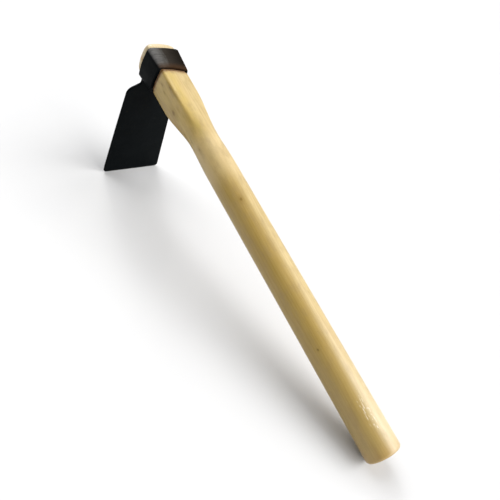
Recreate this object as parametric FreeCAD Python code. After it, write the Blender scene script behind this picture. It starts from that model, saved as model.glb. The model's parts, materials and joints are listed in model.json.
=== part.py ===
"""A short-handled adze hoe: a turned wooden handle, a square steel eye collar and a flat blade.

The tool is modelled along its handle and then tipped into the pose it stands in: the cutting
edge and the lower rim of the butt both touch the ground plane, z = 0.

Tool frame, in millimetres: x runs along the handle from the head to the butt, with x = 0 inside
the collar; y runs across the tool, along the cutting edge; z points away from the blade.
"""

import math
import os

import FreeCAD, Part
from FreeCAD import Vector

# Handle
HANDLE_LENGTH = 462.5
GRIP_RADIUS = 16.5
GRIP_LENGTH = 300.0           # the length from the butt over which the handle is a true cylinder
THROAT_RADIUS = 15.4
THROAT_FROM_BUTT = 337.0
SQUARE_FROM_BUTT = 394.0      # from here to the collar the handle is square
BUTT_ROUNDING = 3.0
SWELL_WIDTH = 31.8
SWELL_DEPTH = 33.6
SWELL_SQUARENESS = 9.0
HEAD_DROP = 2.0               # how far the head's centre lies below the grip's axis
SHOULDER_LENGTH = 3.0         # the bevel where the wood drops down to enter the collar
SHOULDER_GAP = 0.4            # between that bevel and the collar's rim
END_STANDS_OUT = 13.5         # the length of the top end beyond the collar
DOME_LENGTH = 8.0             # the last stretch of it, which is domed
DOME_INSET = 9.5
END_SQUARENESS = 4.5          # how square the very end still is
END_FLARE = 0.8               # how far the wedges spread the wood beyond the collar, on each side

# Collar
COLLAR_FAR_X = -14.0          # the rim that faces the top end
COLLAR_HEIGHT = 27.3
NEAR_RIM_SKEW = 0.105         # slope by which the near rim reaches further down on the +y side
COLLAR_WALL = 3.4
COLLAR_NEAR_WIDTH = 36.4      # at the rim that faces the butt
COLLAR_NEAR_DEPTH = 37.4
COLLAR_FAR_WIDTH = 40.4       # at the rim that faces the top end
COLLAR_FAR_DEPTH = 39.8
COLLAR_SQUARENESS = 8.0
EYE_SQUARENESS = 12.0
FACE_CROWN = 0.018            # how far the faces bulge, as a share of the half width
RIM_ROUNDING = 0.8
EYE_GAP = 0.05                # between the wood and the eye, on each side

# Blade
BLADE_LENGTH = 133.9          # from the collar's underside to the cutting edge
BLADE_LEAN = 8.7              # degrees by which the cutting edge leans towards the butt
BLADE_SETBACK = 7.6           # from the collar's far rim to the blade's inner face
NECK_HALF_WIDTH = 16.8
NECK_LENGTH = 3.4
NECK_ROUNDING = 3.2
NECK_TOP = -2.5               # the plate runs up past the underside beside the collar's corners
SHOULDER_SLOPE = 30.0         # degrees
SHOULDER_HALF_WIDTH = 31.4
SHOULDER_ROUNDING = 10.5
EDGE_HALF_WIDTH = 39.3
EDGE_CORNER = 5.0
PLATE_THICKNESS = 3.4
BEVEL_LENGTH = 12.0           # the long bevel on the outer face
PLATE_AT_BEVEL = 2.5
EDGE_THICKNESS = 0.7
HONE_LENGTH = 2.6             # the small bevel on the inner face
HONE_DEPTH = 0.4

# Weld beads between the collar and the blade
WELD_RADIUS = 3.3
WELD_PITCH = 3.1
WELD_COUNT = 10

# Wedges in the top end
KERF_DEPTH = 24.0
WOOD_WEDGE_TOP = 3.4
WOOD_WEDGE_TIP = 0.9
STEEL_WEDGE_TOP = 2.2
STEEL_WEDGE_TIP = 0.4
STEEL_WEDGE_WIDTH = 8.0
STEEL_WEDGE_DEPTH = 16.0
STEEL_WEDGE_OFFSET = 6.8      # from the middle of the wooden wedge to the middle of each steel wedge
WEDGE_OVERLENGTH = 0.5        # before the wedges are trimmed flush with the dome

# Places along the handle, worked out from the sizes above
FAR_RIM_X = COLLAR_FAR_X
NEAR_RIM_X = FAR_RIM_X + COLLAR_HEIGHT
TOP_X = FAR_RIM_X - END_STANDS_OUT
BUTT_X = TOP_X + HANDLE_LENGTH
GRIP_END_X = BUTT_X - GRIP_LENGTH
THROAT_X = BUTT_X - THROAT_FROM_BUTT
SQUARE_X = BUTT_X - SQUARE_FROM_BUTT
SHOULDER_X = NEAR_RIM_X + SHOULDER_GAP + SHOULDER_LENGTH

GRIP_STEP = 0.04              # by which the swell starts thinner than the cylinder it joins
SECTION_POINTS = 64
END_STEPS = 12
RIM_STEPS = 3
CORNER_CROWDING = 0.75        # how strongly a section's points gather at its corners
OVERLAP = 2.0                 # by which solids run into each other before they are fused


def smoothstep(value):
    clamped = min(1.0, max(0.0, value))
    return clamped * clamped * (3 - 2 * clamped)


def mix(first, second, share):
    return first + (second - first) * share


def square_reach(angle, half_width, half_depth, squareness, crown):
    """Distance from the axis to a rounded square with slightly bulging faces."""
    across = abs(math.cos(angle) / half_width) ** squareness
    deep = abs(math.sin(angle) / half_depth) ** squareness
    return (across + deep) ** (-1 / squareness) * (1 + crown * math.cos(4 * angle))


def centre_drop(x):
    """How far a section's centre lies below the grip's axis."""
    return HEAD_DROP * smoothstep((THROAT_X - x) / (THROAT_X - SQUARE_X))


def section_wire(x, reach, skew=0.0):
    """A smooth closed wire round (x, 0, centre), where reach(angle) is the distance from there.

    A skewed section leans: it lies further along x where y is larger.
    """
    turns = [2 * math.pi * index / SECTION_POINTS for index in range(SECTION_POINTS)]
    points = []
    for turn in turns:
        angle = turn + CORNER_CROWDING * math.sin(4 * turn) / 4
        outward = Vector(skew * math.cos(angle), math.cos(angle), math.sin(angle))
        points.append(Vector(x, 0, -centre_drop(x)) + outward * reach(angle))
    curve = Part.BSplineCurve()
    curve.interpolate(Points=points, PeriodicFlag=True, Parameters=turns + [2 * math.pi])
    return Part.Wire([curve.toShape()])


def loft(sections, ruled=False):
    """A solid through (x, reach) or (x, reach, skew) sections."""
    return Part.makeLoft([section_wire(*section) for section in sections], True, ruled)


def collar_size(x, reduce):
    """Half width and half depth of the tapered collar at x, less the given amount."""
    share = (NEAR_RIM_X - x) / COLLAR_HEIGHT
    half_width = mix(COLLAR_NEAR_WIDTH, COLLAR_FAR_WIDTH, share) / 2 - reduce
    half_depth = mix(COLLAR_NEAR_DEPTH, COLLAR_FAR_DEPTH, share) / 2 - reduce
    return half_width, half_depth


def collar_section(x, reduce, squareness):
    half_width, half_depth = collar_size(x, reduce)
    skew = NEAR_RIM_SKEW if x > 0 else 0.0
    return x, lambda angle: square_reach(angle, half_width, half_depth, squareness, FACE_CROWN), skew


def tenon_section(x, size_at, inset=0.0):
    """The wood at x, as wide as it is inside the eye at size_at, less the given inset."""
    reduce = COLLAR_WALL + EYE_GAP + inset
    return x, *collar_section(size_at, reduce, EYE_SQUARENESS)[1:]


def top_end_section(share):
    """The wood beyond the collar, from share 0 at the far rim to 1 at the very end: it is domed."""
    x = mix(FAR_RIM_X, TOP_X, share)
    domed = max(0.0, 1 - (x - TOP_X) / DOME_LENGTH)
    inset = DOME_INSET * (1 - math.sqrt(1 - domed * domed))
    flare = END_FLARE * smoothstep(share / 0.35)
    half_width, half_depth = collar_size(FAR_RIM_X, COLLAR_WALL + EYE_GAP + inset - flare)
    squareness = mix(EYE_SQUARENESS, END_SQUARENESS, smoothstep(share / 0.8))
    return x, lambda angle: square_reach(angle, half_width, half_depth, squareness, FACE_CROWN)


def swell_section(x):
    """Round at the grip and the throat, growing square towards the collar."""
    narrowing = smoothstep((GRIP_END_X - x) / (GRIP_END_X - THROAT_X))
    radius = mix(GRIP_RADIUS - GRIP_STEP, THROAT_RADIUS, narrowing)
    share = smoothstep((THROAT_X - x) / (THROAT_X - SQUARE_X))
    skew = NEAR_RIM_SKEW * smoothstep((SQUARE_X - x) / (SQUARE_X - SHOULDER_X))

    def reach(angle):
        square = square_reach(angle, SWELL_WIDTH / 2, SWELL_DEPTH / 2, SWELL_SQUARENESS, FACE_CROWN)
        return mix(radius, square, share)

    return x, reach, skew


def make_grip():
    grip = Part.makeCylinder(GRIP_RADIUS, GRIP_LENGTH, Vector(GRIP_END_X, 0, 0), Vector(1, 0, 0))
    rim = [edge for edge in grip.Edges if abs(edge.CenterOfMass.x - BUTT_X) < 0.01]
    return grip.makeFillet(BUTT_ROUNDING, rim)


def make_swell():
    """The stretch from the grip to the bevel just short of the collar."""
    start = GRIP_END_X + OVERLAP / 2
    steps = 16
    stations = [mix(start, SHOULDER_X, step / steps) for step in range(steps + 1)]
    swell = loft([swell_section(x) for x in stations])
    small_end = tenon_section(NEAR_RIM_X + SHOULDER_GAP, NEAR_RIM_X, 0.4)
    bevel = loft([swell_section(SHOULDER_X), small_end], ruled=True)
    return [swell, bevel]


def make_tenon():
    """The stretch through the eye, and the domed top end that stands out of it."""
    tenon = loft([tenon_section(SHOULDER_X + OVERLAP, NEAR_RIM_X), tenon_section(NEAR_RIM_X, NEAR_RIM_X),
                  tenon_section(FAR_RIM_X, FAR_RIM_X)], ruled=True)
    shares = [math.sin(math.radians(86) * step / END_STEPS) for step in range(END_STEPS + 1)]
    return tenon.fuse(loft([top_end_section(share) for share in shares]))


def make_handle(wedges):
    body = make_grip().fuse(make_swell() + [make_tenon()])
    return body.cut(wedges)


def tapered_blank(top, tip, depth, width, centre_z, along_y):
    """A wedge driven in from the top end, whose width runs along y, or else along z."""
    start = TOP_X - WEDGE_OVERLENGTH
    end = TOP_X + depth
    profile = [(start, -top / 2), (start, top / 2), (end, tip / 2), (end, -tip / 2)]
    if along_y:
        points = [Vector(x, -width / 2, centre_z + side) for x, side in profile]
        sweep = Vector(0, width, 0)
    else:
        points = [Vector(x, side, centre_z - width / 2) for x, side in profile]
        sweep = Vector(0, 0, width)
    return Part.Face(Part.makePolygon(points + points[:1])).extrude(sweep)


def make_wood_wedge():
    """Driven across the whole tenon, then trimmed to its faces and its dome."""
    blank = tapered_blank(WOOD_WEDGE_TOP, WOOD_WEDGE_TIP, KERF_DEPTH, 2 * COLLAR_FAR_WIDTH,
                          -HEAD_DROP, True)
    return blank.common(make_tenon())


def make_steel_wedge(side):
    """Driven crosswise on one side of the wooden wedge: side is 1 above it and -1 below it."""
    centre_z = side * STEEL_WEDGE_OFFSET - HEAD_DROP
    blank = tapered_blank(STEEL_WEDGE_TOP, STEEL_WEDGE_TIP, STEEL_WEDGE_DEPTH, STEEL_WEDGE_WIDTH,
                          centre_z, False)
    return blank.common(make_tenon())


def filled_collar():
    return loft([collar_section(NEAR_RIM_X, 0, COLLAR_SQUARENESS),
                 collar_section(FAR_RIM_X, 0, COLLAR_SQUARENESS)], ruled=True)


def make_collar():
    turns = [math.radians(90) * step / RIM_STEPS for step in range(RIM_STEPS + 1)]
    rounding = [(RIM_ROUNDING * (1 - math.cos(turn)), RIM_ROUNDING * (1 - math.sin(turn))) for turn in turns]
    near = [collar_section(NEAR_RIM_X - back, inset, COLLAR_SQUARENESS) for back, inset in rounding]
    far = [collar_section(FAR_RIM_X + back, inset, COLLAR_SQUARENESS) for back, inset in reversed(rounding)]
    eye = loft([collar_section(NEAR_RIM_X + OVERLAP, COLLAR_WALL, EYE_SQUARENESS),
                collar_section(FAR_RIM_X - OVERLAP, COLLAR_WALL, EYE_SQUARENESS)], ruled=True)
    return loft(near + far, ruled=True).cut(eye)


def rounded_corner(before, corner, after, radius):
    """Start, middle and end of the arc that rounds a corner."""
    back = (before - corner).normalize()
    ahead = (after - corner).normalize()
    half_angle = back.getAngle(ahead) / 2
    run = radius / math.tan(half_angle)
    inward = (back + ahead).normalize()
    middle = corner + inward * (radius / math.sin(half_angle) - radius)
    return corner + back * run, middle, corner + ahead * run


def blade_outline():
    """The plate's outline: u across the tool, v down from the collar's underside."""
    slope = math.tan(math.radians(SHOULDER_SLOPE))
    shoulder_v = NECK_LENGTH + (SHOULDER_HALF_WIDTH - NECK_HALF_WIDTH) * slope
    top = Vector(NECK_HALF_WIDTH, NECK_TOP, 0)
    notch = Vector(NECK_HALF_WIDTH, NECK_LENGTH, 0)
    shoulder = Vector(SHOULDER_HALF_WIDTH, shoulder_v, 0)
    edge_corner = Vector(EDGE_HALF_WIDTH, BLADE_LENGTH, 0)
    edge_middle = Vector(0, BLADE_LENGTH, 0)
    arcs = [rounded_corner(top, notch, shoulder, NECK_ROUNDING),
            rounded_corner(notch, shoulder, edge_corner, SHOULDER_ROUNDING),
            rounded_corner(shoulder, edge_corner, edge_middle, EDGE_CORNER)]
    edges = []
    for side in (1, -1):
        flip = FreeCAD.Matrix()
        flip.scale(side, 1, 1)
        last = top
        for start, middle, end in arcs:
            edges.append(Part.LineSegment(flip.multVec(last), flip.multVec(start)).toShape())
            edges.append(Part.Arc(flip.multVec(start), flip.multVec(middle), flip.multVec(end)).toShape())
            last = end
        edges.append(Part.LineSegment(flip.multVec(last), edge_middle).toShape())
    edges.append(Part.LineSegment(Vector(-top.x, top.y, 0), top).toShape())
    return Part.Wire(Part.__sortEdges__(edges))


def blade_placement():
    """Carries (u, v, w) to the tool frame: u across, v down the blade, w out through its outer face."""
    lean = math.radians(BLADE_LEAN)
    across = Vector(0, 1, 0)
    down = Vector(math.sin(lean), 0, -math.cos(lean))
    outward = across.cross(down)
    inner_x = FAR_RIM_X + BLADE_SETBACK
    underside = HEAD_DROP + collar_size(inner_x, 0)[1] * (1 + FACE_CROWN)
    return FreeCAD.Matrix(across.x, down.x, outward.x, inner_x,
                          across.y, down.y, outward.y, 0,
                          across.z, down.z, outward.z, -underside,
                          0, 0, 0, 1)


def make_blade():
    plate = Part.Face(blade_outline()).extrude(Vector(0, 0, PLATE_THICKNESS))
    profile = [(NECK_TOP, 0), (BLADE_LENGTH - HONE_LENGTH, 0), (BLADE_LENGTH, HONE_DEPTH),
               (BLADE_LENGTH, HONE_DEPTH + EDGE_THICKNESS), (BLADE_LENGTH - BEVEL_LENGTH, PLATE_AT_BEVEL),
               (BLADE_LENGTH / 2, PLATE_THICKNESS), (NECK_TOP, PLATE_THICKNESS)]
    points = [Vector(-2 * EDGE_HALF_WIDTH, v, w) for v, w in profile]
    side_view = Part.Face(Part.makePolygon(points + points[:1])).extrude(Vector(4 * EDGE_HALF_WIDTH, 0, 0))
    blade = plate.common(side_view)
    blade.transformShape(blade_placement())
    pieces = blade.cut(filled_collar()).Solids
    return max(pieces, key=lambda piece: piece.Volume)


def make_weld(blade, face_w):
    """A row of overlapping beads in the corner between the collar and one face of the blade."""
    placement = blade_placement()
    row_length = (WELD_COUNT - 1) * WELD_PITCH
    beads = []
    for index in range(WELD_COUNT):
        centre = placement.multVec(Vector(index * WELD_PITCH - row_length / 2, 0, face_w))
        beads.append(Part.makeSphere(WELD_RADIUS, centre))
    pieces = beads[0].fuse(beads[1:]).cut([filled_collar(), blade]).Solids
    return max(pieces, key=lambda piece: piece.Volume)


def standing_tilt():
    """Degrees that bring the cutting edge and the butt's rounded rim down to one plane."""
    edge = blade_placement().multVec(Vector(0, BLADE_LENGTH, HONE_DEPTH))
    rim = Vector(BUTT_X - BUTT_ROUNDING, 0, BUTT_ROUNDING - GRIP_RADIUS)
    run = rim.x - edge.x
    rise = rim.z - edge.z
    return math.degrees(math.atan2(rise, run) - math.asin(BUTT_ROUNDING / math.hypot(run, rise)))


def make_nodes():
    blade = make_blade()
    wood_wedge = make_wood_wedge()
    steel_wedges = [make_steel_wedge(1), make_steel_wedge(-1)]
    return {
        "handle": make_handle([wood_wedge] + steel_wedges),
        "eye_collar": make_collar(),
        "blade": blade,
        "inner_weld": make_weld(blade, 0),
        "outer_weld": make_weld(blade, PLATE_THICKNESS),
        "wood_wedge": wood_wedge.cut(steel_wedges),
        "upper_steel_wedge": steel_wedges[0],
        "lower_steel_wedge": steel_wedges[1],
    }


def main():
    os.makedirs("parts", exist_ok=True)
    nodes = make_nodes()
    tilt = standing_tilt()
    for shape in nodes.values():
        shape.rotate(Vector(0, 0, 0), Vector(0, 1, 0), tilt)
    box = Part.makeCompound(list(nodes.values())).optimalBoundingBox()
    shift = Vector(-box.Center.x, -box.Center.y, -box.ZMin)
    print("tilt", round(tilt, 3))
    print("size", round(box.XLength, 2), round(box.YLength, 2), round(box.ZLength, 2))
    for name, shape in nodes.items():
        shape.translate(shift)
        print(name, shape.isValid(), len(shape.Solids), round(shape.Volume, 1))
        shape.exportStep("parts/" + name + ".step")
    axis = Vector(math.cos(math.radians(tilt)), 0, -math.sin(math.radians(tilt)))
    grip_middle = shift + axis * ((GRIP_END_X + BUTT_X - BUTT_ROUNDING) / 2)
    print("handle axis", axis, "butt centre", shift + axis * BUTT_X, "grip middle", grip_middle)


main()
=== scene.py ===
"""The looks of a short-handled adze hoe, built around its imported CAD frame.

Shape sizes are millimetres in the tool's own frame, which tool() turns into metres in the shared
frame: x runs along the handle from the head to the butt, with x = 0 inside the collar; y runs
across the tool; z points away from the blade.
"""

import json
import math

import bmesh
import bpy
import numpy as np
from mathutils import Matrix, Vector, noise


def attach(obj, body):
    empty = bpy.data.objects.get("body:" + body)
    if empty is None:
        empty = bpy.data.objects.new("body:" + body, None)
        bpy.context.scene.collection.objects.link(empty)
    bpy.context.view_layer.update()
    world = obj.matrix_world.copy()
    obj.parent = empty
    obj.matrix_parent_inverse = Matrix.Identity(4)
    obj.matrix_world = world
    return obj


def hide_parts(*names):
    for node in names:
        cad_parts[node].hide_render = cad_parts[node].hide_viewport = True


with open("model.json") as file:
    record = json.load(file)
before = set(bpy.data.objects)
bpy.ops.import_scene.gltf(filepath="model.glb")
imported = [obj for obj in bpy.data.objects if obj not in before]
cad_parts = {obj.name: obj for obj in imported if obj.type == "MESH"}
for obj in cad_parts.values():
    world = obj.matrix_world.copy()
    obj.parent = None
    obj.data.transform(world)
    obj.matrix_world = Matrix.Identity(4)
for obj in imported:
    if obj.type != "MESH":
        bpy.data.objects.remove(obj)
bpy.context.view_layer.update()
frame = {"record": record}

MM = 0.001

# Where the tool lies in the shared frame
BUTT_MOUNT = next(mount for mount in frame["record"]["mounts"] if mount["name"] == "butt_end")
BUTT = Vector(BUTT_MOUNT["pos_m"])
ALONG = Vector(BUTT_MOUNT["axis"]).normalized()
ACROSS = Vector((0, 1, 0))
ABOVE = ALONG.cross(ACROSS)
TILT = math.asin(-ALONG.z)

# Handle
HANDLE_LENGTH = 462.5
GRIP_RADIUS = 16.5
GRIP_LENGTH = 300.0
THROAT_RADIUS = 15.4
THROAT_FROM_BUTT = 337.0
SQUARE_FROM_BUTT = 394.0
BUTT_ROUNDING = 3.0
SWELL_WIDTH = 31.8
SWELL_DEPTH = 33.6
SWELL_SQUARENESS = 9.0
HEAD_DROP = 2.0
SHOULDER_LENGTH = 3.0
SHOULDER_GAP = 0.4
END_STANDS_OUT = 13.5
DOME_LENGTH = 8.0
DOME_INSET = 9.5
END_SQUARENESS = 4.5
END_FLARE = 0.8

# Collar
COLLAR_FAR_X = -14.0
COLLAR_HEIGHT = 27.3
NEAR_RIM_SKEW = 0.105
COLLAR_WALL = 3.4
COLLAR_NEAR = (36.4, 37.4)
COLLAR_FAR = (40.4, 39.8)
COLLAR_SQUARENESS = 8.0
EYE_SQUARENESS = 12.0
FACE_CROWN = 0.018
EYE_GAP = 0.05
RIM_ROUNDING = 0.8

# Blade
BLADE_LENGTH = 133.9
BLADE_LEAN = math.radians(8.7)
BLADE_SETBACK = 7.6
NECK_HALF_WIDTH = 16.8
NECK_LENGTH = 3.4
NECK_ROUNDING = 3.2
SHOULDER_SLOPE = math.tan(math.radians(30.0))
SHOULDER_HALF_WIDTH = 31.4
SHOULDER_ROUNDING = 10.5
EDGE_HALF_WIDTH = 39.3
EDGE_CORNER = 5.0
PLATE_THICKNESS = 3.4
BEVEL_LENGTH = 12.0
PLATE_AT_BEVEL = 2.5
EDGE_THICKNESS = 0.7
HONE_LENGTH = 2.6
HONE_DEPTH = 0.4
SIDE_GRINDING = 0.08

# Wedges
KERF_DEPTH = 24.0
WOOD_WEDGE_TOP = 3.4
WOOD_WEDGE_TIP = 0.9
STEEL_WEDGE_TOP = 2.2
STEEL_WEDGE_TIP = 0.4
STEEL_WEDGE_WIDTH = 8.0
STEEL_WEDGE_DEPTH = 16.0
STEEL_WEDGE_OFFSET = 6.8
WEDGE_OVERLENGTH = 0.5
WEDGE_BEVEL = 0.22

# Places along the handle
FAR_RIM_X = COLLAR_FAR_X
NEAR_RIM_X = FAR_RIM_X + COLLAR_HEIGHT
TOP_X = FAR_RIM_X - END_STANDS_OUT
BUTT_X = TOP_X + HANDLE_LENGTH
GRIP_END_X = BUTT_X - GRIP_LENGTH
THROAT_X = BUTT_X - THROAT_FROM_BUTT
SQUARE_X = BUTT_X - SQUARE_FROM_BUTT
SHOULDER_X = NEAR_RIM_X + SHOULDER_GAP + SHOULDER_LENGTH

# Welds
WELD_HALF_LENGTH = 15.4
WELD_RADIUS = 2.35
WELD_RIPPLE = 1.35

# Camera
CAMERA_PLACE = (332.8, -278.6, 308.5)
CAMERA_AIM = (218.6, 0.0, -22.0)
CAMERA_ROLL = math.radians(22.2)
CAMERA_LENS = 32.26

# Light. For each far-off lamp: turn and height in the sky and angular size, in degrees, and strength
FILL_STRENGTH = 0.22
LAMPS = {
    "key": (36, 45, 44, 2.55),
    "side": (78, 42, 50, 0.85),
    "back": (178, 48, 60, 2.3),
    "low_front": (5, 17, 30, 1.4),
    "rim": (158, 35, 12, 0.5),
}
FLOOR_REACH = 40.0


def tool(points):
    """Tool frame millimetres, with x, y, z last, to shared frame metres."""
    axes = np.array([ALONG, ACROSS, ABOVE])
    moved = np.asarray(points, dtype=float) - np.array([BUTT_X, 0, 0])
    return moved @ axes * MM + np.array(BUTT)


def smoothstep(value):
    clamped = np.clip(value, 0.0, 1.0)
    return clamped * clamped * (3 - 2 * clamped)


def mix(first, second, share):
    return first + (second - first) * share


def wobble(points, wavelength, seed):
    """Smooth noise between about -1 and 1 at each point. The wavelength may differ along x, y, z."""
    shape = np.shape(points)[:-1]
    scaled = np.reshape(points, (-1, 3)) / np.asarray(wavelength, dtype=float) + seed * 17.3
    values = [noise.noise(Vector(place)) for place in scaled]
    return np.reshape(values, shape)


# ---------------------------------------------------------------- meshes

def grid_mesh(name, rings, wrap_rings=False, values=None):
    """A closed skin over rings of points, shape (rings, around, 3), in tool millimetres.

    With wrap_rings the last ring joins the first; otherwise both ends shrink to a point already.
    Values are one number per point, kept on the mesh as the attribute named wear.
    """
    count, around = rings.shape[:2]
    mesh = bpy.data.meshes.new(name)
    vertices = tool(rings.reshape(-1, 3))
    faces = []
    for ring in range(count if wrap_rings else count - 1):
        following = (ring + 1) % count
        for place in range(around):
            ahead = (place + 1) % around
            faces.append((ring * around + place, ring * around + ahead,
                          following * around + ahead, following * around + place))
    mesh.from_pydata([tuple(vertex) for vertex in vertices], [], faces)
    if values is not None:
        wear = mesh.attributes.new("wear", "FLOAT", "POINT")
        wear.data.foreach_set("value", np.clip(values, 0, 1).astype(np.float32).ravel())
    work = bmesh.new()
    work.from_mesh(mesh)
    bmesh.ops.remove_doubles(work, verts=work.verts, dist=0.004 * MM)
    bmesh.ops.recalc_face_normals(work, faces=work.faces)
    work.to_mesh(mesh)
    work.free()
    mesh.polygons.foreach_set("use_smooth", [True] * len(mesh.polygons))
    piece = bpy.data.objects.new(name, mesh)
    bpy.context.scene.collection.objects.link(piece)
    return piece


def finish_piece(piece, node, material):
    piece.data.materials.clear()
    piece.data.materials.append(material)
    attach(piece, "root")
    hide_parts(node)
    return piece


def section_angles(count):
    """Angles round a section, gathered at its four corners."""
    turns = 2 * math.pi * np.arange(count) / count
    return turns + 0.62 * np.sin(4 * turns) / 4


def square_reach(angles, half_width, half_depth, squareness, crown=FACE_CROWN):
    across = np.abs(np.cos(angles) / half_width) ** squareness
    deep = np.abs(np.sin(angles) / half_depth) ** squareness
    return (across + deep) ** (-1 / squareness) * (1 + crown * np.cos(4 * angles))


def collar_reach(angles, x, reduce, squareness):
    share = (NEAR_RIM_X - x) / COLLAR_HEIGHT
    half_width = mix(COLLAR_NEAR[0], COLLAR_FAR[0], share) / 2 - reduce
    half_depth = mix(COLLAR_NEAR[1], COLLAR_FAR[1], share) / 2 - reduce
    return square_reach(angles, half_width, half_depth, squareness)


def tenon_reach(angles, x, inset=0.0):
    """The wood inside the eye."""
    return collar_reach(angles, x, COLLAR_WALL + EYE_GAP + inset, EYE_SQUARENESS)


def top_end_reach(angles, x):
    """The wood beyond the collar: it flares a little, grows rounder and ends in a dome."""
    share = (FAR_RIM_X - x) / END_STANDS_OUT
    domed = max(0.0, 1 - (x - TOP_X) / DOME_LENGTH)
    inset = DOME_INSET * (1 - math.sqrt(1 - domed * domed)) - END_FLARE * smoothstep(share / 0.35)
    squareness = mix(EYE_SQUARENESS, END_SQUARENESS, smoothstep(share / 0.8))
    return collar_reach(angles, FAR_RIM_X, COLLAR_WALL + EYE_GAP + inset, squareness)


def swell_reach(angles, x):
    narrowing = smoothstep((GRIP_END_X - x) / (GRIP_END_X - THROAT_X))
    radius = mix(GRIP_RADIUS, THROAT_RADIUS, narrowing)
    share = smoothstep((THROAT_X - x) / (THROAT_X - SQUARE_X))
    square = square_reach(angles, SWELL_WIDTH / 2, SWELL_DEPTH / 2, SWELL_SQUARENESS)
    return mix(radius, square, share)


def skew(x):
    """How strongly a section leans along the handle: fully at the near rim, nothing at the far rim."""
    if x > NEAR_RIM_X:
        return NEAR_RIM_SKEW * smoothstep((SQUARE_X - x) / (SQUARE_X - SHOULDER_X))
    return NEAR_RIM_SKEW * min(1.0, max(0.0, (x - FAR_RIM_X) / COLLAR_HEIGHT))


def ring_points(x, angles, reach):
    drop = HEAD_DROP * smoothstep((THROAT_X - x) / (THROAT_X - SQUARE_X))
    y = reach * np.cos(angles)
    return np.stack([x + skew(x) * y, y, reach * np.sin(angles) - drop], axis=-1)


def handle_rings():
    """Rings from the middle of the butt's face to the middle of the top end."""
    angles = section_angles(160)
    rings = []
    flat = GRIP_RADIUS - BUTT_ROUNDING
    for share in np.linspace(0, 1, 10)[:-1]:
        rings.append((BUTT_X, flat * share + 0 * angles))
    for turn in np.linspace(0, math.pi / 2, 9):
        x = BUTT_X - BUTT_ROUNDING * (1 - math.cos(turn))
        rings.append((x, flat + BUTT_ROUNDING * math.sin(turn) + 0 * angles))
    for x in np.arange(BUTT_X - BUTT_ROUNDING - 1.3, GRIP_END_X, -1.3):
        rings.append((x, GRIP_RADIUS + 0 * angles))
    for x in np.arange(GRIP_END_X, SHOULDER_X, -1.1):
        rings.append((x, swell_reach(angles, x)))
    wide = swell_reach(angles, SHOULDER_X)
    narrow = tenon_reach(angles, NEAR_RIM_X, 0.4)
    for share in np.linspace(0, 1, 5):
        rings.append((SHOULDER_X - SHOULDER_LENGTH * share, mix(wide, narrow, share)))
    for x in np.arange(NEAR_RIM_X, FAR_RIM_X, -1.2):
        rings.append((x, tenon_reach(angles, x)))
    for turn in np.linspace(0, math.radians(86), 30):
        x = FAR_RIM_X - END_STANDS_OUT * math.sin(turn)
        rings.append((x, top_end_reach(angles, x)))
    last_x, last = rings[-1]
    for share in np.linspace(1, 0, 8)[1:]:
        rings.append((last_x, last * share))
    return np.array([ring_points(x, angles, reach) for x, reach in rings])


def uneven_handle(rings):
    """Hand-sanded unevenness: everything moves inwards only, by up to about a quarter millimetre."""
    out = rings * np.array([0, 1, 1])
    size = np.linalg.norm(out, axis=-1, keepdims=True)
    out = out / np.maximum(size, 1e-6)
    long_waves = 0.5 + 0.5 * wobble(rings, (42, 11, 11), 1)
    flats = 0.5 + 0.5 * wobble(rings, (95, 5.5, 5.5), 2)
    short = 0.5 + 0.5 * wobble(rings, (9, 5, 5), 3)
    depth = 0.12 * long_waves + 0.08 * flats + 0.03 * short
    depth = depth * smoothstep(size[..., 0] / 6)
    moved = rings - out * depth[..., None]
    ends = smoothstep((rings[..., 0] - (BUTT_X - 0.6)) / 0.6)
    moved[..., 0] -= ends * 0.12 * (0.5 + 0.5 * wobble(rings, (3, 3, 3), 4))
    return moved


def wedge_box(name, top, tip, depth, width, centre_z, along_y, grow=0.0):
    """A closed tapering wedge, finely cut; without grow, the edges of its top end are bevelled."""
    steps_x, steps_w = 14, 14
    start = TOP_X - WEDGE_OVERLENGTH - (3.0 if grow else 0.0)
    end = TOP_X + depth + grow
    rings = []
    bevel = 0.0 if grow else WEDGE_BEVEL
    outline = []
    for share in np.linspace(-1, 1, steps_w):
        outline.append((share, 1.0))
    for share in np.linspace(1, -1, steps_w):
        outline.append((share, -1.0))
    outline = np.array(outline)
    for x in np.concatenate([[start], [start + bevel], np.linspace(start, end, steps_x)[1:]]):
        share = (x - start) / (end - start)
        half = mix(top, tip, share) / 2 + grow
        shrink = bevel if x == start else 0.0
        wide = outline[:, 0] * (width / 2 + grow - shrink)
        thick = outline[:, 1] * (half - shrink)
        columns = [np.full(len(outline), x), wide, thick + centre_z] if along_y else \
            [np.full(len(outline), x), thick, wide + centre_z]
        rings.append(np.stack(columns, axis=-1))
    first, last = rings[0], rings[-1]
    middle_first = first.mean(axis=0, keepdims=True) + 0 * first
    middle_last = last.mean(axis=0, keepdims=True) + 0 * last
    return grid_mesh(name, np.array([middle_first] + rings + [middle_last]))


def boolean(piece, other, operation):
    cut = piece.modifiers.new("cut", "BOOLEAN")
    cut.operation = operation
    cut.solver = "EXACT"
    cut.object = other
    graph = bpy.context.evaluated_depsgraph_get()
    result = bpy.data.meshes.new_from_object(piece.evaluated_get(graph))
    piece.modifiers.clear()
    old = piece.data
    piece.data = result
    bpy.data.meshes.remove(old)


def remove_helper(helper):
    mesh = helper.data
    bpy.data.objects.remove(helper)
    bpy.data.meshes.remove(mesh)


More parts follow.
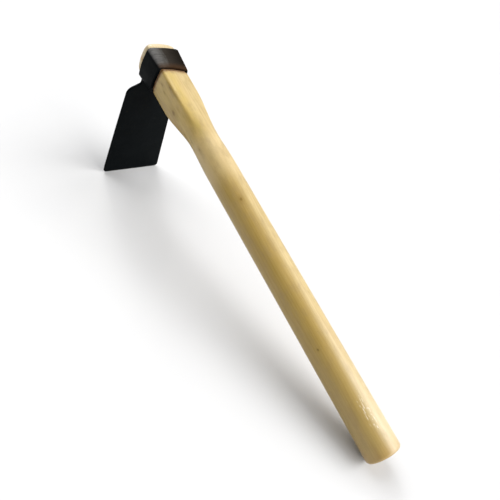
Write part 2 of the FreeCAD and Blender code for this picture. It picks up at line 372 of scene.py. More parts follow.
def make_handle(material):
    piece = grid_mesh("turned_handle", uneven_handle(handle_rings()))
    kerf = wedge_box("kerf", WOOD_WEDGE_TOP, WOOD_WEDGE_TIP, KERF_DEPTH, 60, -HEAD_DROP, True, grow=0.12)
    boolean(piece, kerf, "DIFFERENCE")
    remove_helper(kerf)
    for side in (1, -1):
        slit = wedge_box("slit", STEEL_WEDGE_TOP, STEEL_WEDGE_TIP, STEEL_WEDGE_DEPTH,
                         STEEL_WEDGE_WIDTH, side * STEEL_WEDGE_OFFSET - HEAD_DROP, False, grow=0.08)
        boolean(piece, slit, "DIFFERENCE")
        remove_helper(slit)
    return finish_piece(piece, "handle", material)


def trim_to_dome(piece):
    trim = grid_mesh("trim", uneven_handle(handle_rings()))
    boolean(piece, trim, "INTERSECT")
    remove_helper(trim)


def make_wood_wedge(material):
    """The wooden wedge, trimmed to the tenon's own outline."""
    piece = wedge_box("split_wedge", WOOD_WEDGE_TOP, WOOD_WEDGE_TIP, KERF_DEPTH, 60, -HEAD_DROP, True)
    trim_to_dome(piece)
    return finish_piece(piece, "wood_wedge", material)


def make_steel_wedge(side, node, material):
    piece = wedge_box("cross_wedge_" + node.split("_")[0], STEEL_WEDGE_TOP, STEEL_WEDGE_TIP,
                      STEEL_WEDGE_DEPTH, STEEL_WEDGE_WIDTH, side * STEEL_WEDGE_OFFSET - HEAD_DROP, False)
    trim_to_dome(piece)
    return finish_piece(piece, node, material)


def make_collar(material):
    """The forged ring: hammered faces, softened corners, rims rounded on the outside."""
    angles = section_angles(220)
    profile = []
    corner = np.linspace(0, math.pi / 2, 6)
    rim = RIM_ROUNDING
    for turn in corner:
        profile.append((NEAR_RIM_X - rim * (1 - math.cos(turn)), rim * (1 - math.sin(turn)), True))
    for x in np.linspace(NEAR_RIM_X - rim, FAR_RIM_X + rim, 36)[1:-1]:
        profile.append((x, 0.0, True))
    for turn in corner[::-1]:
        profile.append((FAR_RIM_X + rim * (1 - math.cos(turn)), rim * (1 - math.sin(turn)), True))
    for x in np.linspace(FAR_RIM_X, NEAR_RIM_X, 20):
        profile.append((x, COLLAR_WALL, False))
    rings = []
    for x, inset, outside in profile:
        squareness = COLLAR_SQUARENESS if outside else EYE_SQUARENESS
        rings.append(ring_points(x, angles, collar_reach(angles, x, inset, squareness)))
    rings = np.array(rings)
    outside = np.array([flag for _, _, flag in profile], dtype=float)[:, None]
    radial = rings * np.array([0, 1, 1]) + np.array([0, 0, HEAD_DROP])
    radial = radial / np.linalg.norm(radial, axis=-1, keepdims=True)
    hammered = 0.5 + 0.5 * wobble(rings, (9, 8, 8), 11)
    broad = 0.5 + 0.5 * wobble(rings, (22, 15, 15), 12)
    depth = (0.28 * hammered + 0.3 * broad) * outside
    rings = rings - radial * depth[..., None]
    places = np.array([x for x, _, _ in profile])[:, None]
    from_rim = np.minimum(NEAR_RIM_X - places, places - FAR_RIM_X)
    wear = smoothstep((0.5 - from_rim) / 0.5) * 0.7 * outside
    square = np.abs(np.sin(2 * angles))[None, :] ** 14
    wear = np.maximum(wear, 0.45 * square * outside)
    piece = grid_mesh("forged_collar", rings, wrap_rings=True, values=wear)
    return finish_piece(piece, "eye_collar", material)


# Blade: u across, v down from the collar's underside, w out through the outer face
INNER_FACE_X = FAR_RIM_X + BLADE_SETBACK


def blade_base():
    share = (NEAR_RIM_X - INNER_FACE_X) / COLLAR_HEIGHT
    half_depth = mix(COLLAR_NEAR[1], COLLAR_FAR[1], share) / 2
    return np.array([INNER_FACE_X, 0, -HEAD_DROP - half_depth * (1 + FACE_CROWN)])


def blade_points(u, v, w):
    across = np.array([0.0, 1.0, 0.0])
    down = np.array([math.sin(BLADE_LEAN), 0, -math.cos(BLADE_LEAN)])
    outward = np.cross(across, down)
    return blade_base() + u[..., None] * across + v[..., None] * down + w[..., None] * outward


def half_width(v):
    """The plate's outline: neck, concave notch, sloping shoulder, straight sides, rounded corners."""
    slope_angle = math.atan(SHOULDER_SLOPE)
    shoulder_v = NECK_LENGTH + (SHOULDER_HALF_WIDTH - NECK_HALF_WIDTH) * SHOULDER_SLOPE
    flare = (EDGE_HALF_WIDTH - SHOULDER_HALF_WIDTH) / (BLADE_LENGTH - shoulder_v)
    side = SHOULDER_HALF_WIDTH + (v - shoulder_v) * flare
    notch_turn = math.pi / 2 - slope_angle
    notch_run = NECK_ROUNDING * math.tan(notch_turn / 2)
    notch_centre = (NECK_HALF_WIDTH + NECK_ROUNDING, NECK_LENGTH - notch_run)
    notch_end = NECK_LENGTH + notch_run * math.sin(slope_angle)
    shoulder_turn = math.pi / 2 - slope_angle - math.atan(flare)
    shoulder_run = SHOULDER_ROUNDING * math.tan(shoulder_turn / 2)
    start = (SHOULDER_HALF_WIDTH - shoulder_run * math.cos(slope_angle),
             shoulder_v - shoulder_run * math.sin(slope_angle))
    centre = (start[0] - SHOULDER_ROUNDING * math.sin(slope_angle),
              start[1] + SHOULDER_ROUNDING * math.cos(slope_angle))
    end_v = shoulder_v + shoulder_run * math.cos(math.atan(flare))
    if v < NECK_LENGTH - notch_run:
        return NECK_HALF_WIDTH
    if v < notch_end:
        fall = v - notch_centre[1]
        return notch_centre[0] - math.sqrt(max(0.0, NECK_ROUNDING ** 2 - fall ** 2))
    if v < start[1]:
        return NECK_HALF_WIDTH + (v - NECK_LENGTH) / SHOULDER_SLOPE
    if v < end_v:
        return centre[0] + math.sqrt(max(0.0, SHOULDER_ROUNDING ** 2 - (v - centre[1]) ** 2))
    if v > BLADE_LENGTH - EDGE_CORNER:
        rise = v - (BLADE_LENGTH - EDGE_CORNER)
        return side - EDGE_CORNER + math.sqrt(max(0.0, EDGE_CORNER ** 2 - rise ** 2))
    return side


def plate_faces(v):
    """Where the inner and the outer face lie at v: full plate, long outer bevel, small inner hone."""
    bevel_v = BLADE_LENGTH - BEVEL_LENGTH
    hone_v = BLADE_LENGTH - HONE_LENGTH
    inner = HONE_DEPTH * max(0.0, (v - hone_v) / HONE_LENGTH)
    if v < BLADE_LENGTH / 2:
        outer = PLATE_THICKNESS
    elif v < bevel_v:
        outer = mix(PLATE_THICKNESS, PLATE_AT_BEVEL, (v - BLADE_LENGTH / 2) / (bevel_v - BLADE_LENGTH / 2))
    else:
        outer = mix(PLATE_AT_BEVEL, HONE_DEPTH + EDGE_THICKNESS, (v - bevel_v) / BEVEL_LENGTH)
    return inner, outer


def blade_rows():
    top = -1.2
    fine = np.arange(top, 22, 0.35)
    middle = np.arange(22, BLADE_LENGTH - EDGE_CORNER - 1, 1.2)
    low = np.arange(BLADE_LENGTH - EDGE_CORNER - 1, BLADE_LENGTH - 0.5, 0.4)
    corner = BLADE_LENGTH - 0.5 * (1 - np.sin(np.linspace(0, math.pi / 2, 8)))
    return np.concatenate([fine, middle, low, corner])


def make_blade(material):
    """The plate as closed rings, one for each row: inner face, rounded side, outer face, side."""
    across = 64
    side_steps = 5
    rings = []
    wear = []
    for v in blade_rows():
        wide = half_width(v) - SIDE_GRINDING
        inner, outer = plate_faces(v)
        thick = outer - inner
        round_side = min(0.9, 0.45 * thick)
        flat = wide - round_side
        spread = np.sin(np.linspace(-1, 1, across) * math.pi / 2 * 0.94) / math.sin(math.pi / 2 * 0.94)
        u_face = spread * flat
        turn = np.linspace(0, math.pi, side_steps + 2)[1:-1]
        side_u = flat + round_side * np.sin(turn)
        side_w = mix(inner, outer, (1 - np.cos(turn)) / 2)
        u = np.concatenate([u_face, side_u, u_face[::-1], -side_u[::-1]])
        w = np.concatenate([np.full(across, inner), side_w, np.full(across, outer), side_w[::-1]])
        rings.append((u, np.full_like(u, v), w))
        from_side = wide - np.abs(u)
        from_edge = BLADE_LENGTH - v
        side_wear = smoothstep(1 - from_side / 1.3) * 0.5
        edge_wear = smoothstep(1 - from_edge / 3.2)
        wear.append(np.maximum(side_wear, edge_wear))
    u = np.array([ring[0] for ring in rings])
    v = np.array([ring[1] for ring in rings])
    w = np.array([ring[2] for ring in rings])
    wear = np.array(wear)
    places = np.stack([u, v, 0 * w], axis=-1)
    dents = wobble(places, (21, 26, 20), 21) * 0.16 + wobble(places, (7, 8, 7), 22) * 0.05
    fade = smoothstep((BLADE_LENGTH - v) / 30) * smoothstep((v - 2) / 14)
    middle = 0.5 * (w.min(axis=1, keepdims=True) + w.max(axis=1, keepdims=True))
    w = w + dents * fade
    w = middle + (w - middle) * (1 - 0.02 * fade)
    v = v - 0.10 * (0.5 + 0.5 * wobble(places, (6, 9, 9), 23)) * smoothstep((v - BLADE_LENGTH + 1) / 1.0)
    points = blade_points(u, v, w)
    first = points[:1].mean(axis=1, keepdims=True) + 0 * points[:1]
    last = points[-1:].mean(axis=1, keepdims=True) + 0 * points[-1:]
    points = np.concatenate([first, points, last])
    wear = np.concatenate([wear[:1], wear, wear[-1:]])
    piece = grid_mesh("plate_blade", points, values=wear)
    return finish_piece(piece, "blade", material)


def make_weld(name, node, face_w, side, seed, material):
    """A rippled bead lying in the corner between the collar's underside and one face of the blade."""
    turns = np.linspace(0, 2 * math.pi, 28, endpoint=False)
    rings = []
    for u in np.linspace(-WELD_HALF_LENGTH, WELD_HALF_LENGTH, 150):
        end = math.sqrt(max(0.02, 1 - (u / (WELD_HALF_LENGTH + 0.02)) ** 8))
        wander = noise.noise(Vector((u / 5, seed, 0)))
        ripple = 0.5 + 0.5 * math.cos(2 * math.pi * (u + 0.5 * wander) / WELD_RIPPLE)
        radius = (WELD_RADIUS + 0.3 * wander + 0.14 * ripple) * end
        lean_u = u + 0.25 * np.cos(turns) * ripple
        v = 0.1 + radius * np.cos(turns)
        w = face_w + side * 0.1 + radius * np.sin(turns) * (1 + 0.05 * ripple)
        rings.append(blade_points(lean_u, v, w))
    rings = np.array(rings)
    first = rings[:1].mean(axis=1, keepdims=True) + 0 * rings[:1]
    last = rings[-1:].mean(axis=1, keepdims=True) + 0 * rings[-1:]
    wear = np.full((len(rings) + 2, len(turns)), 0.25)
    piece = grid_mesh(name, np.concatenate([first, rings, last]), values=wear)
    return finish_piece(piece, node, material)


# ---------------------------------------------------------------- materials

class Shader:
    """One procedural material, built node by node."""

    def __init__(self, name):
        self.material = bpy.data.materials.new(name)
        self.material.use_nodes = True
        self.tree = self.material.node_tree
        self.surface = self.tree.nodes["Principled BSDF"]
        coordinates = self.add("ShaderNodeTexCoord")
        start = np.array(BUTT) - np.array(ALONG) * BUTT_X * MM
        mapping = self.add("ShaderNodeMapping")
        turned = Matrix.Rotation(-TILT, 3, "Y")
        mapping.inputs["Rotation"].default_value = (0, -TILT, 0)
        mapping.inputs["Location"].default_value = -(turned @ Vector(start))
        self.link(coordinates.outputs["Object"], mapping.inputs["Vector"])
        to_mm = self.add("ShaderNodeVectorMath", operation="SCALE")
        to_mm.inputs["Scale"].default_value = 1 / MM
        self.link(mapping.outputs["Vector"], to_mm.inputs[0])
        self.place = to_mm.outputs["Vector"]

    def add(self, kind, **settings):
        node = self.tree.nodes.new(kind)
        for name, value in settings.items():
            setattr(node, name, value)
        return node

    def link(self, start, end):
        self.tree.links.new(start, end)

    def put(self, socket, value):
        if isinstance(value, bpy.types.NodeSocket):
            self.link(value, socket)
        else:
            socket.default_value = value

    def math(self, operation, first, second=0.0):
        node = self.add("ShaderNodeMath", operation=operation)
        self.put(node.inputs[0], first)
        self.put(node.inputs[1], second)
        return node.outputs[0]

    def times(self, first, second):
        return self.math("MULTIPLY", first, second)

    def plus(self, first, second):
        return self.math("ADD", first, second)

    def minus(self, first, second):
        return self.math("SUBTRACT", first, second)

    def noise(self, wavelength, detail=2.0, roughness=0.5, offset=0.0):
        """Noise from 0 to 1 whose grain is the given number of millimetres along x, y, z."""
        scale = self.add("ShaderNodeVectorMath", operation="MULTIPLY_ADD")
        self.link(self.place, scale.inputs[0])
        scale.inputs[1].default_value = [1 / length for length in wavelength]
        scale.inputs[2].default_value = (offset, offset * 0.7, offset * 1.3)
        node = self.add("ShaderNodeTexNoise")
        node.inputs["Scale"].default_value = 1.0
        node.inputs["Detail"].default_value = detail
        node.inputs["Roughness"].default_value = roughness
        self.link(scale.outputs[0], node.inputs["Vector"])
        return node.outputs["Fac"]

    def ramp(self, value, stops):
        node = self.add("ShaderNodeValToRGB")
        elements = node.color_ramp.elements
        for index, (place, colour) in enumerate(stops):
            element = elements[index] if index < 2 else elements.new(place)
            element.position = place
            element.color = (*colour, 1) if isinstance(colour, tuple) else (colour, colour, colour, 1)
        self.link(value, node.inputs["Fac"])
        return node.outputs["Color"]

    def blend(self, share, first, second):
        node = self.add("ShaderNodeMix", data_type="RGBA")
        self.put(node.inputs["Factor"], share)
        for socket, value in ((node.inputs[6], first), (node.inputs[7], second)):
            self.put(socket, (*value, 1) if isinstance(value, tuple) else value)
        return node.outputs[2]

    def tint(self, colour, shade, share, strength):
        """The colour, moved towards the shade by share times strength."""
        return self.blend(self.times(share, strength), colour, shade)

    def parts(self):
        node = self.add("ShaderNodeSeparateXYZ")
        self.link(self.place, node.inputs[0])
        return node.outputs

    def window(self, value, low, high):
        """0 below low and 1 above high, smoothly. Low may be the larger."""
        node = self.add("ShaderNodeMapRange", interpolation_type="SMOOTHSTEP")
        node.inputs["From Min"].default_value = low
        node.inputs["From Max"].default_value = high
        self.put(node.inputs["Value"], value)
        return node.outputs["Result"]

    def distance(self, centre, stretch):
        """Distance in millimetres from a place, with x, y, z divided by the stretch first."""
        offset = self.add("ShaderNodeVectorMath", operation="SUBTRACT")
        self.link(self.place, offset.inputs[0])
        offset.inputs[1].default_value = centre
        scaled = self.add("ShaderNodeVectorMath", operation="DIVIDE")
        self.link(offset.outputs[0], scaled.inputs[0])
        scaled.inputs[1].default_value = stretch
        length = self.add("ShaderNodeVectorMath", operation="LENGTH")
        self.link(scaled.outputs[0], length.inputs[0])
        return length.outputs["Value"]

    def bump(self, height, depth_mm, before=None):
        node = self.add("ShaderNodeBump")
        node.inputs["Strength"].default_value = 1.0
        node.inputs["Distance"].default_value = depth_mm * MM
        self.link(height, node.inputs["Height"])
        if before is not None:
            self.link(before, node.inputs["Normal"])
        return node.outputs["Normal"]

    def attribute(self, name):
        return self.add("ShaderNodeAttribute", attribute_name=name).outputs["Fac"]


# Dark specks, knots and short brown streaks: place and size in millimetres, depth of colour, how
# many times longer than wide they are, and their colour
DARK = (0.07, 0.036, 0.010)
BROWN = (0.19, 0.103, 0.004)
SPECKS = [
    ((334.5, -14.1, 8.6), 0.8, 0.95, 1.5, DARK),
    ((179.5, -9.0, 13.8), 1.7, 0.75, 1.5, BROWN),
    ((57.0, -15.9, -2.9), 2.9, 0.80, 1.5, BROWN),
    ((36.5, -15.9, 11.0), 1.4, 0.95, 3.2, BROWN),
    ((46.0, -15.9, 12.5), 1.0, 0.65, 4.5, BROWN),
    ((24.0, -15.9, 3.5), 0.9, 0.75, 3.0, BROWN),
    ((32.0, -15.9, 0.5), 0.8, 0.60, 3.0, BROWN),
    ((61.0, -15.9, 5.5), 0.9, 0.60, 3.5, BROWN),
    ((75.8, -15.6, 10.2), 2.0, 0.50, 2.5, BROWN),
    ((111.0, -14.8, 3.5), 1.0, 0.60, 3.0, BROWN),
    ((97.0, -15.4, -1.0), 0.9, 0.50, 3.0, BROWN),
]

SCRATCH_GLINT_PLACE = (398.0, -6.5, 15.0)


def growth_rings(shader, pith, spacing):
    """Growth rings round a pith outside the wood: 0 in early wood, rising to 1 in late wood."""
    wander = shader.noise((120, 14, 14), detail=2, offset=3.1)
    fine = shader.noise((30, 4, 4), detail=2, offset=5.7)
    x, y, z = shader.parts()[:3]
    side = shader.plus(shader.minus(y, pith[0]), shader.times(x, 0.016))
    rise = shader.plus(shader.minus(z, pith[1]), shader.times(x, -0.011))
    both = shader.plus(shader.math("POWER", side, 2.0), shader.math("POWER", rise, 2.0))
    reach = shader.math("DIVIDE", shader.math("SQRT", both), spacing)
    reach = shader.plus(reach, shader.times(wander, 3.2))
    reach = shader.plus(reach, shader.times(fine, 0.5))
    return shader.math("FRACT", reach)


def grain_colour(shader, late, fibres, pores):
    """Growth rings, pale streaks, warm patches, dark fibres and pores."""
    colour = shader.blend(late, (0.41, 0.283, 0.074), (0.36, 0.23, 0.050))
    streaks = shader.window(shader.noise((55, 1.5, 1.5), detail=3, roughness=0.6, offset=1.0), 0.35, 0.7)
    colour = shader.tint(colour, (0.50, 0.372, 0.135), streaks, 0.5)
    warm = shader.window(shader.noise((70, 16, 16), detail=2, offset=9.0), 0.42, 0.68)
    colour = shader.tint(colour, (0.43, 0.255, 0.095), warm, 0.4)
    colour = shader.tint(colour, (0.32, 0.20, 0.08), shader.window(fibres, 0.52, 0.78), 0.2)
    return shader.tint(colour, (0.20, 0.12, 0.05), pores, 0.26)


def patches_and_painted_light(shader, colour, late):
    """Painted light paling the upper, lit side, painted shade darkening and warming the other side, a
    painted highlight near the butt, and cream and olive mottling that follows the painted light and is
    strongest near the head.
    """
    x, y, z = shader.parts()[:3]
    upper = shader.window(x, 175, 95)
    # Painted light: the upper, lit side of the handle is set paler. The cream and olive mottling below
    # follows it.
    painted_lit_side = shader.window(shader.plus(shader.times(z, 0.8), shader.times(y, 0.6)), 5, 15)
    colour = shader.tint(colour, (0.60, 0.49, 0.29), painted_lit_side, 0.42)
    cream = shader.window(shader.noise((30, 9, 9), detail=3, offset=41.0), 0.44, 0.66)
    cream = shader.times(cream, shader.plus(shader.times(upper, 0.35), 0.3))
    cream = shader.times(cream, shader.plus(shader.times(painted_lit_side, 0.75), 0.25))
    colour = shader.blend(cream, colour, (0.60, 0.475, 0.245))
    olive = shader.window(shader.noise((20, 6.5, 6.5), detail=4, roughness=0.6, offset=47.0), 0.50, 0.63)
    olive = shader.times(olive, shader.plus(shader.times(upper, 0.45), 0.2))
    olive = shader.times(olive, shader.minus(1.0, shader.times(painted_lit_side, 0.75)))
    colour = shader.blend(olive, colour, (0.285, 0.205, 0.040))
    colour = shader.tint(colour, (0.33, 0.21, 0.055), late, 0.22)
    bands = shader.window(shader.noise((80, 2.2, 2.2), detail=3, roughness=0.6, offset=53.0), 0.5, 0.66)
    colour = shader.tint(colour, (0.36, 0.235, 0.072), bands, 0.22)
    # Painted shade: the other side is darkened and warmed, less strongly near the head.
    painted_shade_side = shader.window(shader.minus(shader.times(z, 0.5), shader.times(y, 0.86)), 6, 15)
    painted_shade_colour = shader.blend(upper, (0.345, 0.22, 0.036), (0.52, 0.375, 0.095))
    colour = shader.tint(colour, painted_shade_colour, painted_shade_side, 0.48)
    throat = shader.times(shader.window(x, 88, 112), shader.window(x, 165, 138))
    colour = shader.tint(colour, (0.60, 0.465, 0.25), throat, 0.42)
    # Painted highlight: a creamy pale on the lit side towards the butt.
    painted_butt_highlight = shader.times(shader.window(x, 300, 425), shader.plus(shader.times(painted_lit_side, 0.45), 0.08))
    return shader.blend(painted_butt_highlight, colour, (0.62, 0.53, 0.36))


def handling_marks(shader, colour):
    """Grime all over, near-white scratches near the butt that carry a painted glint, and a rim darkened by
    hands.
    """
    x = shader.parts()[0]
    grime = shader.window(shader.noise((17, 8, 8), detail=4, roughness=0.62, offset=6.0), 0.45, 0.72)
    colour = shader.tint(colour, (0.31, 0.212, 0.082), grime, 0.42)
    # Fine scratches near the butt, painted near-white: partly real scratches, partly a painted highlight.
    scratches = shader.window(shader.noise((4.5, 0.55, 0.55), detail=2, offset=17.0), 0.60, 0.66)
    scratch_glint_area = shader.window(shader.distance(SCRATCH_GLINT_PLACE, (3.2, 0.8, 1.0)), 6.5, 3.0)
    colour = shader.tint(colour, (0.95, 0.90, 0.80), shader.times(scratches, scratch_glint_area), 0.75)
    handled = shader.window(x, BUTT_X - 16, BUTT_X - 1)
    return shader.tint(colour, (0.44, 0.25, 0.08), handled, 0.25)


def cut_end_colour(shader, colour, late, butt, end_grain, sawn):
    """The paler wood beyond the collar, and rings and saw marks on both cut ends."""
    x = shader.parts()[0]
    beyond = shader.window(x, NEAR_RIM_X, FAR_RIM_X)
    colour = shader.tint(colour, (0.60, 0.485, 0.29), beyond, 0.85)
    colour = shader.tint(colour, (0.40, 0.285, 0.13), shader.times(beyond, late), 0.42)
    speckle = shader.window(shader.noise((1.6, 0.5, 0.5), detail=3, roughness=0.7, offset=61.0), 0.52, 0.72)
    colour = shader.tint(colour, (0.36, 0.25, 0.11), shader.times(beyond, speckle), 0.35)
    rough_cut = shader.blend(shader.window(sawn, 0.3, 0.7), (0.44, 0.33, 0.19), (0.35, 0.25, 0.13))
    colour = shader.tint(colour, rough_cut, end_grain, 0.6)
    return shader.tint(colour, (0.27, 0.17, 0.075), shader.times(butt, late), 0.5)


def collar_rim_band(shader, colour):
    """A ragged dark brown band on the wood next to the collar's near rim."""
    x, y = shader.parts()[:2]
    from_rim = shader.minus(x, shader.times(y, NEAR_RIM_SKEW))
    ragged = shader.times(shader.noise((4, 4, 4), detail=3, offset=8.0), -5.0)
    rim_band = shader.window(shader.plus(from_rim, ragged), NEAR_RIM_X + 5.5, NEAR_RIM_X - 1.0)
    rim_band = shader.times(rim_band, shader.window(x, FAR_RIM_X, 0))
    return shader.tint(colour, (0.17, 0.075, 0.024), rim_band, 0.9)


def add_specks(shader, colour):
    for place, size, depth, stretch, shade in SPECKS:
        uneven = shader.times(shader.noise((1.6, 1.2, 1.2), detail=2), 0.8)
        away = shader.plus(shader.distance(place, (stretch, 1.0, 1.0)), uneven)
        core = shader.window(away, size + 0.5, size * 0.5)
        halo = shader.window(away, size * 3.2, size)
        colour = shader.tint(colour, (0.29, 0.182, 0.028), halo, depth * 0.6)
        colour = shader.tint(colour, shade, core, depth)
    return colour


def wood_material():
    shader = Shader("pale_handle_wood")
    x = shader.parts()[0]
    rings = growth_rings(shader, (34.0, 41.0), 2.6)
    late = shader.ramp(rings, [(0.0, 0.0), (0.55, 0.12), (0.86, 0.85), (0.93, 1.0), (1.0, 0.0)])
    fibres = shader.noise((26, 0.35, 0.35), detail=3, roughness=0.7, offset=2.0)
    pores = shader.window(shader.noise((5.5, 0.22, 0.22), detail=1, offset=4.0), 0.66, 0.74)
    butt = shader.window(x, BUTT_X - 0.9, BUTT_X - 0.3)
    top = shader.window(x, TOP_X + DOME_LENGTH, TOP_X + 1.0)
    end_grain = shader.math("MAXIMUM", butt, shader.times(top, 0.5))
    sawn = shader.noise((3, 0.6, 0.6), detail=3, roughness=0.6, offset=7.0)
    colour = grain_colour(shader, late, fibres, pores)
    colour = patches_and_painted_light(shader, colour, late)
    colour = handling_marks(shader, colour)
    colour = cut_end_colour(shader, colour, late, butt, end_grain, sawn)
    colour = collar_rim_band(shader, colour)
    colour = add_specks(shader, colour)
    shader.link(colour, shader.surface.inputs["Base Color"])
    polish = shader.noise((30, 3, 3), detail=3, offset=12.0)
    rough = shader.ramp(polish, [(0.3, 0.36), (0.7, 0.48)])
    rough = shader.blend(end_grain, rough, (0.85, 0.85, 0.85))
    rough = shader.blend(pores, rough, (0.8, 0.8, 0.8))
    shader.link(rough, shader.surface.inputs["Roughness"])
    shader.surface.inputs["Specular IOR Level"].default_value = 0.5
    shader.surface.inputs["Coat Weight"].default_value = 0.22
    shader.surface.inputs["Coat Roughness"].default_value = 0.3
    normal = shader.bump(late, 0.03)
    normal = shader.bump(shader.minus(1.0, pores), 0.06, normal)
    normal = shader.bump(fibres, 0.05, normal)
    normal = shader.bump(shader.times(sawn, end_grain), 0.25, normal)
    shader.link(normal, shader.surface.inputs["Normal"])
    return shader.material


def wedge_wood_material():
    shader = Shader("wedge_end_grain")
    rings = growth_rings(shader, (-60.0, 8.0), 1.4)
    late = shader.ramp(rings, [(0.0, 0.0), (0.6, 0.2), (0.9, 1.0), (1.0, 0.0)])
    colour = shader.blend(late, (0.56, 0.36, 0.19), (0.36, 0.20, 0.09))
    fuzz = shader.noise((1.2, 0.5, 0.5), detail=4, roughness=0.7, offset=2.0)
    colour = shader.blend(shader.window(fuzz, 0.4, 0.75), colour, (0.68, 0.5, 0.3))
    shader.link(colour, shader.surface.inputs["Base Color"])
    shader.surface.inputs["Roughness"].default_value = 0.82
    shader.link(shader.bump(fuzz, 0.2, shader.bump(late, 0.08)), shader.surface.inputs["Normal"])
    return shader.material


def steel_material():
    shader = Shader("bare_wedge_steel")
    mottled = shader.noise((2.2, 2.2, 2.2), detail=5, roughness=0.65, offset=1.0)
    colour = shader.ramp(mottled, [(0.35, (0.30, 0.29, 0.28)), (0.6, (0.46, 0.44, 0.42))])
    rust = shader.window(shader.noise((1.4, 1.4, 1.4), detail=4, roughness=0.7, offset=4.0), 0.58, 0.72)
    colour = shader.tint(colour, (0.23, 0.09, 0.035), rust, 0.7)
    shader.link(colour, shader.surface.inputs["Base Color"])
    metal = shader.minus(1.0, shader.times(rust, 0.9))
    shader.link(metal, shader.surface.inputs["Metallic"])
    shader.link(shader.ramp(mottled, [(0.3, 0.35), (0.7, 0.6)]), shader.surface.inputs["Roughness"])
    shader.link(shader.bump(mottled, 0.12), shader.surface.inputs["Normal"])
    return shader.material


def top_sheen_and_rubbing(shader):
    """The collar's upper face: a painted grey highlight strongest at its left corner, fading to near black,
    with darker streaks and browner towards the handle.
    """
    x, y = shader.parts()[:2]
    across = shader.plus(y, shader.times(shader.noise((14, 3, 9), detail=3, offset=3.0), 9.0))
    colour = shader.ramp(shader.window(across, -20, 26), [
        (0.0, (0.14, 0.137, 0.133)), (0.2, (0.10, 0.096, 0.09)),
        (0.42, (0.027, 0.022, 0.017)), (0.9, (0.006, 0.0036, 0.0016))])
    streaks = shader.window(shader.noise((0.8, 11, 6), detail=4, roughness=0.65, offset=31.0), 0.40, 0.66)
    colour = shader.tint(colour, (0.008, 0.007, 0.006), streaks, 0.45)
    from_near_rim = shader.minus(x, shader.times(y, NEAR_RIM_SKEW))
    return shader.tint(colour, (0.042, 0.020, 0.008), shader.window(from_near_rim, 5, NEAR_RIM_X), 0.75)


def paint_material():
    """Thin matt blacking, with dust, worn edges and a few scratches, and a painted highlight on the
    collar's upper face.
    """
    shader = Shader("black_forged_paint")
    z = shader.parts()[2]
    cloud = shader.noise((17, 17, 17), detail=4, roughness=0.6, offset=1.0)
    colour = shader.ramp(cloud, [(0.3, (0.0015, 0.0024, 0.0028)), (0.7, (0.0030, 0.0041, 0.0046))])
    # Painted highlight and painted top light: the collar's upper face is set lighter than its other faces.
    colour = shader.blend(shader.window(z, 12.6, 15.4), colour, top_sheen_and_rubbing(shader))
    dust = shader.window(shader.noise((3, 3, 3), detail=6, roughness=0.75, offset=5.0), 0.60, 0.78)
    colour = shader.tint(colour, (0.06, 0.056, 0.05), dust, 0.06)
    chip = shader.noise((1.3, 1.3, 1.3), detail=4, roughness=0.7, offset=8.0)
    bare = shader.window(shader.plus(shader.attribute("wear"), shader.times(chip, 0.9)), 1.24, 1.44)
    steel = shader.ramp(chip, [(0.3, (0.08, 0.075, 0.07)), (0.7, (0.16, 0.155, 0.15))])
    colour = shader.tint(colour, steel, bare, 0.4)
    scratch = shader.window(shader.noise((0.6, 26, 26), detail=2, offset=14.0), 0.73, 0.78)
    colour = shader.tint(colour, (0.05, 0.05, 0.05), scratch, 0.10)
    shader.link(colour, shader.surface.inputs["Base Color"])
    shader.link(shader.times(bare, 0.3), shader.surface.inputs["Metallic"])
    polish = shader.noise((6, 6, 6), detail=5, roughness=0.65, offset=2.0)
    rough = shader.ramp(polish, [(0.3, 0.36), (0.7, 0.52)])
    rough = shader.tint(rough, (0.75, 0.75, 0.75), dust, 0.6)
    shader.link(rough, shader.surface.inputs["Roughness"])
    shader.surface.inputs["Specular IOR Level"].default_value = 0.03
    peel = shader.noise((0.9, 0.9, 0.9), detail=2, offset=21.0)
    forge = shader.noise((6, 5, 6), detail=3, roughness=0.55, offset=22.0)
    normal = shader.bump(forge, 0.22)
    normal = shader.bump(peel, 0.02, normal)
    normal = shader.bump(shader.minus(1.0, bare), 0.04, normal)
    shader.link(normal, shader.surface.inputs["Normal"])
    return shader.material


def floor_material():
    shader = Shader("white_paper")
    fibre = shader.noise((40, 40, 40), detail=4, offset=1.0)
    shader.link(shader.ramp(fibre, [(0.0, (0.593, 0.593, 0.598)), (1.0, (0.605, 0.605, 0.605))]),
                shader.surface.inputs["Base Color"])
    shader.surface.inputs["Roughness"].default_value = 0.9
    shader.surface.inputs["Specular IOR Level"].default_value = 0.1
    return shader.material


# ---------------------------------------------------------------- studio

def make_camera():
    data = bpy.data.cameras.new("camera")
    data.lens = CAMERA_LENS
    data.sensor_width = 36
    camera = bpy.data.objects.new("camera", data)
    bpy.context.scene.collection.objects.link(camera)
    place = Vector(tool(CAMERA_PLACE))
    aim = Vector(tool(CAMERA_AIM))
    turn = (aim - place).to_track_quat("-Z", "Y").to_matrix() @ Matrix.Rotation(CAMERA_ROLL, 3, "Z")
    camera.matrix_world = Matrix.Translation(place) @ turn.to_4x4()
    bpy.context.scene.camera = camera


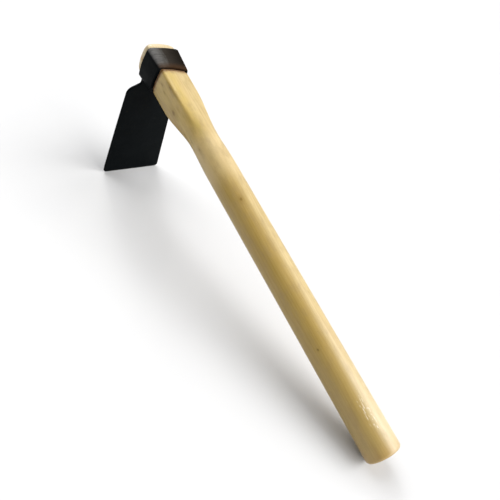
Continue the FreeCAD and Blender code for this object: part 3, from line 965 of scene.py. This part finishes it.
def make_floor():
    mesh = bpy.data.meshes.new("floor")
    corners = [(-1, -1, 0), (1, -1, 0), (1, 1, 0), (-1, 1, 0)]
    mesh.from_pydata([FLOOR_REACH * Vector(corner) for corner in corners], [], [(0, 1, 2, 3)])
    floor = bpy.data.objects.new("floor", mesh)
    bpy.context.scene.collection.objects.link(floor)
    mesh.materials.append(floor_material())


def add_lamp(name, turn, height, spread, strength):
    """A broad far-off lamp. Turn and height, in degrees, say where it stands in the sky."""
    data = bpy.data.lights.new(name, "SUN")
    data.angle = math.radians(spread)
    data.energy = strength
    lamp = bpy.data.objects.new(name, data)
    bpy.context.scene.collection.objects.link(lamp)
    turn, height = math.radians(turn), math.radians(height)
    level = math.cos(height)
    towards = Vector((math.cos(turn) * level, math.sin(turn) * level, math.sin(height)))
    lamp.rotation_euler = towards.to_track_quat("Z", "Y").to_euler()
    lamp.location = towards


def make_sky():
    """Soft fill from everywhere. Seen directly it is as white as the floor, so no horizon shows."""
    world = bpy.data.worlds.new("studio")
    bpy.context.scene.world = world
    world.use_nodes = True
    tree = world.node_tree
    fill = tree.nodes["Background"]
    fill.inputs["Color"].default_value = (1, 1, 1, 1)
    fill.inputs["Strength"].default_value = FILL_STRENGTH
    white = tree.nodes.new("ShaderNodeBackground")
    white.inputs["Color"].default_value = (1, 1, 1, 1)
    path = tree.nodes.new("ShaderNodeLightPath")
    chosen = tree.nodes.new("ShaderNodeMixShader")
    tree.links.new(path.outputs["Is Camera Ray"], chosen.inputs["Fac"])
    tree.links.new(fill.outputs["Background"], chosen.inputs[1])
    tree.links.new(white.outputs["Background"], chosen.inputs[2])
    tree.links.new(chosen.outputs["Shader"], tree.nodes["World Output"].inputs["Surface"])


def make_studio():
    make_sky()
    for name, settings in LAMPS.items():
        add_lamp(name, *settings)
    bpy.context.scene.view_settings.view_transform = "Standard"


make_camera()
make_floor()
make_studio()
wood = wood_material()
paint = paint_material()
wedge_wood = wedge_wood_material()
steel = steel_material()
make_handle(wood)
make_collar(paint)
make_blade(paint)
make_weld("inner_bead", "inner_weld", 0.0, -1, 3.0, paint)
make_weld("outer_bead", "outer_weld", PLATE_THICKNESS, 1, 9.0, paint)
make_wood_wedge(wedge_wood)
make_steel_wedge(1, "upper_steel_wedge", steel)
make_steel_wedge(-1, "lower_steel_wedge", steel)
